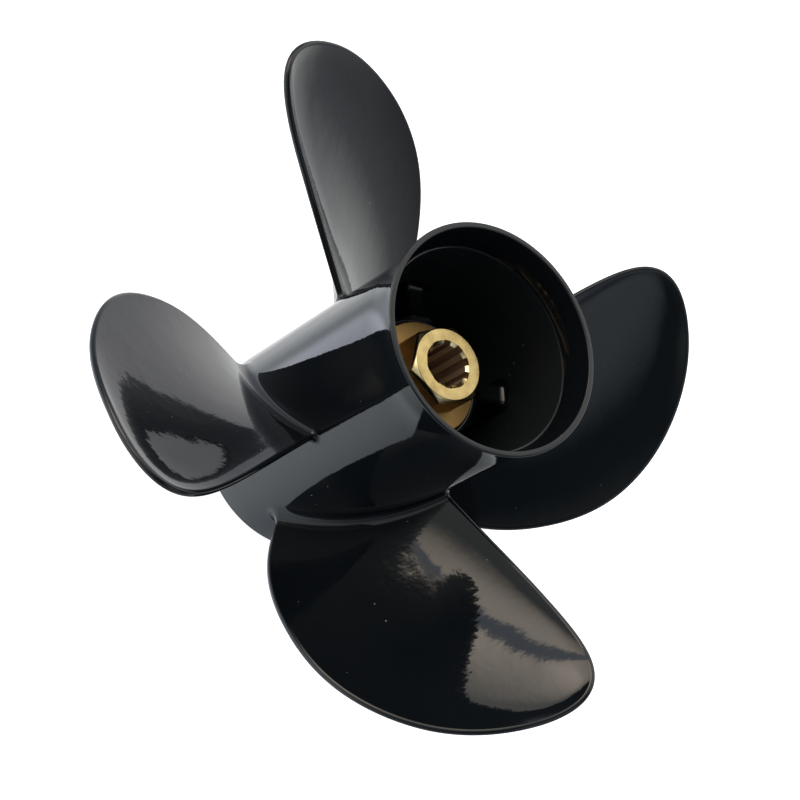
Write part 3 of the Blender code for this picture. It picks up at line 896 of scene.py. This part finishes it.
def make_dust():
    group, given, out = new_group("dust", [("Spacing", "NodeSocketFloat", 12.0 * MM),
                                           ("Speck Size", "NodeSocketFloat", 0.4 * MM),
                                           ("Share", "NodeSocketFloat", 0.2)],
                                  [("Mask", "NodeSocketFloat")])
    frequency = calculate(group, "DIVIDE", 1.0, given.outputs["Spacing"])
    cells = add_node(group, "ShaderNodeTexVoronoi", Vector=object_place(group), Scale=frequency)
    chance = add_node(group, "ShaderNodeSeparateColor", Color=cells.outputs["Color"])
    chosen = calculate(group, "LESS_THAN", chance.outputs["Red"], given.outputs["Share"])
    reach = calculate(group, "DIVIDE", given.outputs["Speck Size"], given.outputs["Spacing"])
    bigger = calculate(group, "ADD", chance.outputs["Green"], SMALLEST_SPECK)
    size = calculate(group, "MULTIPLY", reach, bigger)
    inside = add_node(group, "ShaderNodeMapRange", Value=cells.outputs["Distance"], From_Min=0.0,
                      From_Max=size, To_Min=1.0, To_Max=0.0)
    group.links.new(calculate(group, "MULTIPLY", inside.outputs[0], chosen), out.inputs["Mask"])
    return group


dust = make_dust()
print("group:", dust.name, [item.name for item in dust.interface.items_tree])

# %% [markdown]
# No surface has the same colour all over. The third group gives slow blotches, which the paint
# uses for its depth, the brass for its first tarnish and the rubber for its bloom.

# %% Blotches
def make_blotches():
    group, given, out = new_group("blotches", [("Blotch Size", "NodeSocketFloat", 20.0 * MM),
                                               ("Contrast", "NodeSocketFloat", 1.0)],
                                  [("Amount", "NodeSocketFloat")])
    frequency = calculate(group, "DIVIDE", 1.0, given.outputs["Blotch Size"])
    noise = add_node(group, "ShaderNodeTexNoise", Vector=object_place(group), Scale=frequency,
                     Detail=4.0)
    centred = calculate(group, "SUBTRACT", noise.outputs["Fac"], 0.5)
    spread = calculate(group, "MULTIPLY", centred, given.outputs["Contrast"])
    amount = calculate(group, "ADD", spread, 0.5, use_clamp=True)
    group.links.new(amount, out.inputs["Amount"])
    return group


blotches = make_blotches()
print("group:", blotches.name, [item.name for item in blotches.interface.items_tree])

# %% [markdown]
# Every finish is put together from the same few moves: open the shader of a material, place a
# group with its own values, mix two colours by a mask, stretch a mask to a range, and turn a
# height into a bump. Each is a helper of a line or two, so the finishes read like recipes.

# %% Helpers for the finishes
def use_group(tree, group, **inputs):
    """Place a node group with its own values, as its output socket."""
    return add_node(tree, "ShaderNodeGroup", {"node_tree": group}, **inputs).outputs[0]


def open_shader(material):
    material.use_nodes = True
    return material.node_tree, material.node_tree.nodes["Principled BSDF"]


def mix_colours(tree, amount, first, second):
    """The first colour where the amount is 0 and the second where it is 1."""
    return add_node(tree, "ShaderNodeMix", {"data_type": "RGBA"},
                    n0=amount, n6=first, n7=second).outputs[2]


def map_range(tree, value, low, high):
    """Stretch a value that runs from 0 to 1, so that it runs from low to high."""
    return add_node(tree, "ShaderNodeMapRange", Value=value, To_Min=low, To_Max=high).outputs[0]


def add_bump(tree, shader, height):
    """Let a height in metres tilt the surface."""
    bump = add_node(tree, "ShaderNodeBump", Height=height, Distance=1.0)
    tree.links.new(bump.outputs["Normal"], shader.inputs["Normal"])


print("finishes are mixed from:", ", ".join(group.name for group in (ripple, dust, blotches)))

# %% [markdown]
# The casting's paint is gloss black. Black paint has almost no colour of its own, so what is
# seen is its reflections, and the shader needs only a very dark base and a low roughness. The
# ripple goes in as a bump of a few hundredths of a millimetre. Two sizes of it are added: the
# orange peel, and the slower waves of the ground casting. On the wall of the bore the coat is thin
# and dry: duller, a little greyer, and with less shine. It is the same shader with other numbers.

# %% The paint's values
PAINT_COLOUR = (0.0040, 0.0056, 0.0074, 1.0)
PAINT_DEEP = (0.0058, 0.0074, 0.0092, 1.0)
PAINT_ROUGHNESS = (0.035, 0.065)
PAINT_IOR = 1.5
THIN_COLOUR = (0.010, 0.013, 0.015, 1.0)
THIN_DEEP = (0.014, 0.018, 0.020, 1.0)
THIN_ROUGHNESS = (0.28, 0.40)
THIN_IOR = 1.12
SPECK_COLOUR = (0.35, 0.36, 0.36, 1.0)
SPECK_SPACING = 4.0 * MM
SPECK_SIZE = 0.28 * MM
SPECK_SHARE = 0.25
SPECK_HEIGHT = 0.05 * MM
COAT_BLOTCH = 30.0 * MM
COAT_CONTRAST = 1.5
PEEL_SIZE = 2.6 * MM
PEEL_DEPTH = 0.022 * MM
WAVE_SIZE = 14.0 * MM
WAVE_DEPTH = 0.10 * MM
print("paint: waves of", round(PEEL_SIZE / MM, 1), "and", round(WAVE_SIZE / MM, 1), "mm")


# %% Gloss black paint, thick and thin
def dress_paint(material, shallow, deep, roughness, ior):
    """One coat of the paint: its colour, its shine, and a bump of two ripples and the specks."""
    tree, shader = open_shader(material)
    specks = use_group(tree, dust, Spacing=SPECK_SPACING, Speck_Size=SPECK_SIZE, Share=SPECK_SHARE)
    depth = use_group(tree, blotches, Blotch_Size=COAT_BLOTCH, Contrast=COAT_CONTRAST)
    colour = mix_colours(tree, specks, mix_colours(tree, depth, shallow, deep), SPECK_COLOUR)
    tree.links.new(colour, shader.inputs["Base Color"])
    tree.links.new(map_range(tree, depth, *roughness), shader.inputs["Roughness"])
    peel = use_group(tree, ripple, Wave_Size=PEEL_SIZE)
    waves = use_group(tree, ripple, Wave_Size=WAVE_SIZE)
    height = calculate(tree, "ADD", calculate(tree, "MULTIPLY", peel, PEEL_DEPTH),
                       calculate(tree, "MULTIPLY", waves, WAVE_DEPTH))
    height = calculate(tree, "ADD", height, calculate(tree, "MULTIPLY", specks, SPECK_HEIGHT))
    add_bump(tree, shader, height)
    shader.inputs["IOR"].default_value = ior
    print(material.name, "-", len(tree.nodes), "nodes")


dress_paint(gloss_black, PAINT_COLOUR, PAINT_DEEP, PAINT_ROUGHNESS, PAINT_IOR)
dress_paint(thin_black, THIN_COLOUR, THIN_DEEP, THIN_ROUGHNESS, THIN_IOR)

# %% [markdown]
# The sleeve is turned from brass bar and left bright. A lathe leaves fine rings: round the axis on
# a flat end, and along it on a cylinder. Both come from one number, the distance from the axis
# plus the height, fed to a one-dimensional noise. The bore was broached instead, which tears the
# metal a little, and it still holds oil, so it is dull and brown. Its grooves get a darker colour
# than its lands, which is painted shade in the recesses. The chamfer of the hexagon is brighter
# than its handled end face. The hexagon's sides and the flange have gone dull and brown. All of
# these are told apart by their height and their distance from the axis.

# %% The brass's values
BRASS_LIGHT = (0.72, 0.56, 0.25, 1.0)
BRASS_DARK = (0.40, 0.29, 0.11, 1.0)
BRASS_DULL = (0.92, 0.58, 0.22, 1.0)
BRASS_CUT = (0.98, 0.80, 0.46, 1.0)
BORE_LAND = (0.74, 0.59, 0.42, 1.0)
# painted shade: the grooves of the bore get this darker colour
BORE_GROOVE_SHADE = (0.50, 0.37, 0.27, 1.0)
BRASS_ROUGHNESS = (0.14, 0.34)
BORE_ROUGHNESS = 0.62
DULL_ROUGHNESS = 0.5
DULL_BELOW = HEX_TOP - 2.4 * MM    # the hexagon's sides and the flange
RING_SIZE = 0.30 * MM
RING_DEPTH = 0.003 * MM
TARNISH_BLOTCH = 4.0 * MM
TARNISH_CONTRAST = 2.2
TARNISH_RANGE = (-0.3, 1.3)        # beyond 0 and 1, so that the end face has more contrast
TOOL_WAVE = 3.0 * MM
TOOL_DEPTH = 0.02 * MM
CUT_BELOW = HEX_TOP - 0.12 * MM    # under the end face
OILY_BELOW = HEX_TOP - 1.2 * MM
BORE_LIMIT = SPLINE_ROOT + 0.05 * MM
GROOVE_SHADE_LIMIT = SPLINE_TIP + 0.2 * MM
print("brass: cut below", round(CUT_BELOW / MM, 1), "mm and dull below", round(DULL_BELOW / MM, 1))


# %% Turned brass
def cylinder_place(tree):
    """Distance from the shaft axis and height, both in metres, as sockets."""
    parts = add_node(tree, "ShaderNodeSeparateXYZ", Vector=object_place(tree))
    squares = [calculate(tree, "POWER", parts.outputs[axis], 2.0) for axis in ("X", "Y")]
    return calculate(tree, "SQRT", calculate(tree, "ADD", *squares)), parts.outputs["Z"]


def lathe_rings(tree, out, up):
    """A noise that changes only along the distance from the axis plus the height."""
    along = calculate(tree, "ADD", out, up)
    return add_node(tree, "ShaderNodeTexNoise", {"noise_dimensions": "1D"}, W=along,
                    Scale=1.0 / RING_SIZE, Detail=3.0, Roughness=0.7).outputs["Fac"]


def dress_brass():
    tree, shader = open_shader(turned_brass)
    out, up = cylinder_place(tree)
    rings = lathe_rings(tree, out, up)
    tarnish = use_group(tree, blotches, Blotch_Size=TARNISH_BLOTCH, Contrast=TARNISH_CONTRAST)
    worn = calculate(tree, "MULTIPLY", calculate(tree, "ADD", tarnish, rings), 0.5)
    toned = mix_colours(tree, map_range(tree, worn, *TARNISH_RANGE), BRASS_LIGHT, BRASS_DARK)
    toned = mix_colours(tree, calculate(tree, "LESS_THAN", up, CUT_BELOW), toned, BRASS_CUT)
    dull = calculate(tree, "LESS_THAN", up, DULL_BELOW)
    toned = mix_colours(tree, dull, toned, BRASS_DULL)
    in_bore = calculate(tree, "MULTIPLY", calculate(tree, "LESS_THAN", out, BORE_LIMIT),
                        calculate(tree, "LESS_THAN", up, OILY_BELOW))
    # painted shade: the sides and bottoms of the grooves are coloured darker than the lands
    groove = calculate(tree, "GREATER_THAN", out, GROOVE_SHADE_LIMIT)
    oily_with_groove_shade = mix_colours(tree, groove, BORE_LAND, BORE_GROOVE_SHADE)
    tree.links.new(mix_colours(tree, in_bore, toned, oily_with_groove_shade), shader.inputs["Base Color"])
    rough = calculate(tree, "MAXIMUM", map_range(tree, rings, *BRASS_ROUGHNESS),
                      calculate(tree, "MULTIPLY", in_bore, BORE_ROUGHNESS))
    rough = calculate(tree, "MAXIMUM", rough, calculate(tree, "MULTIPLY", dull, DULL_ROUGHNESS))
    tree.links.new(rough, shader.inputs["Roughness"])
    uneven = use_group(tree, ripple, Wave_Size=TOOL_WAVE)
    height = calculate(tree, "ADD", calculate(tree, "MULTIPLY", rings, RING_DEPTH),
                       calculate(tree, "MULTIPLY", uneven, TOOL_DEPTH))
    add_bump(tree, shader, height)
    shader.inputs["Metallic"].default_value = 1.0


dress_brass()
print("brass:", len(turned_brass.node_tree.nodes), "nodes")

# %% [markdown]
# The bush is black rubber with the dull grain of its mould and a pale bloom of dust.

# %% Bush rubber
RUBBER_COLOUR = (0.013, 0.013, 0.013, 1.0)
RUBBER_BLOOM = (0.030, 0.029, 0.028, 1.0)
RUBBER_DUST = (0.10, 0.10, 0.10, 1.0)
RUBBER_ROUGHNESS = (0.55, 0.75)
BLOOM_BLOTCH = 9.0 * MM
BLOOM_CONTRAST = 1.8
DUST_SPACING = 3.0 * MM
DUST_SIZE = 0.25 * MM
DUST_SHARE = 0.25
GRAIN_SIZE = 0.8 * MM
GRAIN_DEPTH = 0.10 * MM


def dress_rubber():
    tree, shader = open_shader(bush_rubber)
    bloom = use_group(tree, blotches, Blotch_Size=BLOOM_BLOTCH, Contrast=BLOOM_CONTRAST)
    specks = use_group(tree, dust, Spacing=DUST_SPACING, Speck_Size=DUST_SIZE, Share=DUST_SHARE)
    worn = mix_colours(tree, bloom, RUBBER_COLOUR, RUBBER_BLOOM)
    tree.links.new(mix_colours(tree, specks, worn, RUBBER_DUST), shader.inputs["Base Color"])
    tree.links.new(map_range(tree, bloom, *RUBBER_ROUGHNESS), shader.inputs["Roughness"])
    grain = use_group(tree, ripple, Wave_Size=GRAIN_SIZE)
    add_bump(tree, shader, calculate(tree, "MULTIPLY", grain, GRAIN_DEPTH))


dress_rubber()
print("rubber:", len(bush_rubber.node_tree.nodes), "nodes")

# %% [markdown]
# The propeller lies in a bright tent: a pale table below, and soft lights around. A gloss black
# object shows nothing but this surrounding: the barrel mirrors the table, the lower blade a warm
# lamp, the right blade the dark side where the camera stands. Each light is a round glow in the
# sky, given by its compass direction and its height, the angle inside which it is full, the angle
# outside which there is nothing left, and its colour. The last one is a shade on the table, so its
# colour is taken away instead of added. A dark bar crosses the lamp, like the frame of a window.
# It follows a circle on the sky, so it is given by that circle's middle and radius.
#
# Most of these numbers weren't chosen by hand. A least-squares fit moved the
# lights, and changed the room and the table, until the reflections matched those in the
# photograph, and its result was rounded. Only the light for the brass, the shade, and the width,
# fade and colour of the bar were left out of it. A lesson should rather have a few lights that
# the reader could place, so this list is a result to look at and not a way to work.

# %% The soft lights
LAMP = [
    # direction and height above the horizon, full inside, nothing outside in degrees, colour
    (212.0, 38.0, 7.0, 27.0, (2.50, 2.04, 1.64)),      # its bright middle
    (190.0, 38.0, 6.0, 15.0, (1.15, 0.94, 0.79)),      # a smaller glow beside that
    (177.0, 49.0, 10.0, 41.0, (1.08, 1.05, 0.93)),     # its wide rim
]
SOFT_LIGHTS = [
    (112.0, 38.0, 1.0, 34.0, (1.25, 1.22, 1.18)),      # shows on the brass
    (217.0, -56.0, 12.0, 21.0, (0.94, 0.92, 1.13)),    # a bright spot of table, on the barrel
    (159.0, -45.0, 0.5, 15.0, (0.54, 0.55, 0.51)),     # a fainter one, also on the barrel
    (251.0, -37.0, 17.0, 69.0, (0.81, 0.89, 0.89)),    # the wide table, along the barrel
    (82.0, -13.0, 0.5, 24.0, (0.67, 0.66, 0.58)),      # the lower half of the upper blade
    (118.0, -38.0, 5.0, 36.0, (0.57, 0.54, 0.48)),     # the left blade, and the barrel's far edge
    (65.0, -3.0, 7.0, 42.0, (0.25, 0.25, 0.24)),       # a veil over the upper blade
    (18.0, 47.0, 7.0, 29.0, (0.48, 0.55, 0.58)),       # a cool veil over the right blade
    (242.0, 39.0, 16.0, 50.0, (0.44, 0.46, 0.42)),     # a veil over the lower blade
    (124.0, 0.0, 0.5, 27.0, (0.33, 0.30, 0.28)),       # the upper side of the left blade
    (66.0, -53.0, 6.0, 24.0, (-0.27, -0.29, -0.36)),   # the shade, under the barrel's mouth
]
BAR_CIRCLE = (182.6, -0.4, 52.3)
BAR_EDGES = (1.3, 2.8)
BAR_FADE = (0.3, 0.5)              # these heights are the Z of a direction, so 1 is straight up
BAR_COLOUR = (0.55, 0.60, 0.75)
ROOM_COLOUR = (0.052, 0.065, 0.081)
TABLE_COLOUR = (0.424, 0.447, 0.501)
TABLE_FADE = (0.758, -0.208)       # the table's light grows downwards between these heights
UNDER_PART = (-0.97, -0.91)        # straight below, the part stands in its own light
WHITE = (1.0, 1.0, 1.0, 1.0)
print("lights:", len(LAMP), "for the lamp and", len(SOFT_LIGHTS), "around, over a pale table")

# %% [markdown]
# The sky of a scene is a shader too, and its Generated coordinate is the direction of a ray. The
# cosine of the angle between that ray and a light's direction is their dot product, so a smooth
# step on it makes a round glow with a soft rim. Colours are added up as vectors.

# %% Helpers for the sky
def towards(compass, height):
    """A direction as three numbers."""
    flat = polar(math.cos(math.radians(height)), math.radians(compass))
    return (*flat, math.sin(math.radians(height)))


def soft_step(tree, value, start, end):
    """0 before start, 1 after end and a smooth step between, as a socket."""
    return add_node(tree, "ShaderNodeMapRange", {"interpolation_type": "SMOOTHSTEP"}, Value=value,
                    From_Min=start, From_Max=end).outputs[0]


def vector_node(tree, operation, **inputs):
    return add_node(tree, "ShaderNodeVectorMath", {"operation": operation}, **inputs)


def scale_colour(tree, colour, amount):
    return vector_node(tree, "SCALE", n0=colour, Scale=amount).outputs[0]


def add_colours(tree, first, second):
    return vector_node(tree, "ADD", n0=first, n1=second).outputs[0]


def alignment(tree, ray, compass, height):
    """The cosine of the angle between a ray and a direction."""
    return vector_node(tree, "DOT_PRODUCT", n0=ray, n1=towards(compass, height)).outputs["Value"]


def glows(tree, ray, lights, total):
    """Add the round glows of a list to a colour."""
    for compass, height, inner, outer, colour in lights:
        amount = soft_step(tree, alignment(tree, ray, compass, height),
                           math.cos(math.radians(outer)), math.cos(math.radians(inner)))
        total = add_colours(tree, total, scale_colour(tree, colour, amount))
    return total


print("towards the lamp:", [round(x, 2) for x in towards(*LAMP[0][:2])])

# %% [markdown]
# Now everything is added up: the lamp with its bar cut out, the bar's own faint light, the room,
# the table and the lights around. The camera itself sees plain white instead.

# %% The light tent
def outside_bar(tree, ray):
    """0 on the dark bar and 1 away from it."""
    compass, height, radius = BAR_CIRCLE
    angle = calculate(tree, "ARCCOSINE", alignment(tree, ray, compass, height))
    off = calculate(tree, "ABSOLUTE", calculate(tree, "SUBTRACT", angle, math.radians(radius)))
    return soft_step(tree, off, *(math.radians(edge) for edge in BAR_EDGES))


def make_world():
    world = bpy.data.worlds.new("light_tent")
    world.use_nodes = True
    tree = world.node_tree
    ray = add_node(tree, "ShaderNodeTexCoord").outputs["Generated"]
    up = add_node(tree, "ShaderNodeSeparateXYZ", Vector=ray).outputs["Z"]
    clear = outside_bar(tree, ray)
    bar = calculate(tree, "MULTIPLY", calculate(tree, "SUBTRACT", 1.0, clear),
                    soft_step(tree, up, *BAR_FADE))
    table = calculate(tree, "MULTIPLY", soft_step(tree, up, *TABLE_FADE),
                      soft_step(tree, up, *UNDER_PART))
    total = scale_colour(tree, glows(tree, ray, LAMP, (0.0, 0.0, 0.0)), clear)
    total = add_colours(tree, total, scale_colour(tree, BAR_COLOUR, bar))
    total = add_colours(tree, total, ROOM_COLOUR)
    total = add_colours(tree, total, scale_colour(tree, TABLE_COLOUR, table))
    total = glows(tree, ray, SOFT_LIGHTS, total)
    seen = add_node(tree, "ShaderNodeLightPath").outputs["Is Camera Ray"]
    colour = mix_colours(tree, seen, total, WHITE)
    tree.links.new(colour, tree.nodes["Background"].inputs["Color"])
    return world


bpy.context.scene.world = make_world()
bpy.context.scene.view_settings.view_transform = "Standard"
print("sky:", len(bpy.context.scene.world.node_tree.nodes), "nodes")

# %% [markdown]
# The floor is a plain white sheet that shines by itself, so the background comes out pure white
# with no shadow, as in the photograph. It is one-sided: from below it is clear, so the front
# of the propeller can be looked at too. Its light is already in the soft lights above, so
# it is seen by the camera only.

# %% The floor
FLOOR_SIZE = 3.0


def make_floor():
    bm = bmesh.new()
    bmesh.ops.create_grid(bm, x_segments=1, y_segments=1, size=FLOOR_SIZE)
    mesh = bpy.data.meshes.new("white_floor")
    bm.to_mesh(mesh)
    bm.free()
    floor = bpy.data.objects.new("white_floor", mesh)
    bpy.context.scene.collection.objects.link(floor)
    for kind in ("glossy", "diffuse", "transmission", "shadow"):
        setattr(floor, "visible_" + kind, False)
    white = bpy.data.materials.new("white_sheet")
    tree, shader = open_shader(white)
    shader.inputs["Emission Color"].default_value = WHITE
    shader.inputs["Emission Strength"].default_value = 1.0
    back = add_node(tree, "ShaderNodeNewGeometry").outputs["Backfacing"]
    clear = add_node(tree, "ShaderNodeBsdfTransparent")
    both = add_node(tree, "ShaderNodeMixShader", n0=back, n1=shader.outputs[0], n2=clear.outputs[0])
    tree.links.new(both.outputs[0], tree.nodes["Material Output"].inputs["Surface"])
    mesh.materials.append(white)
    return floor


print("floor:", make_floor().name)
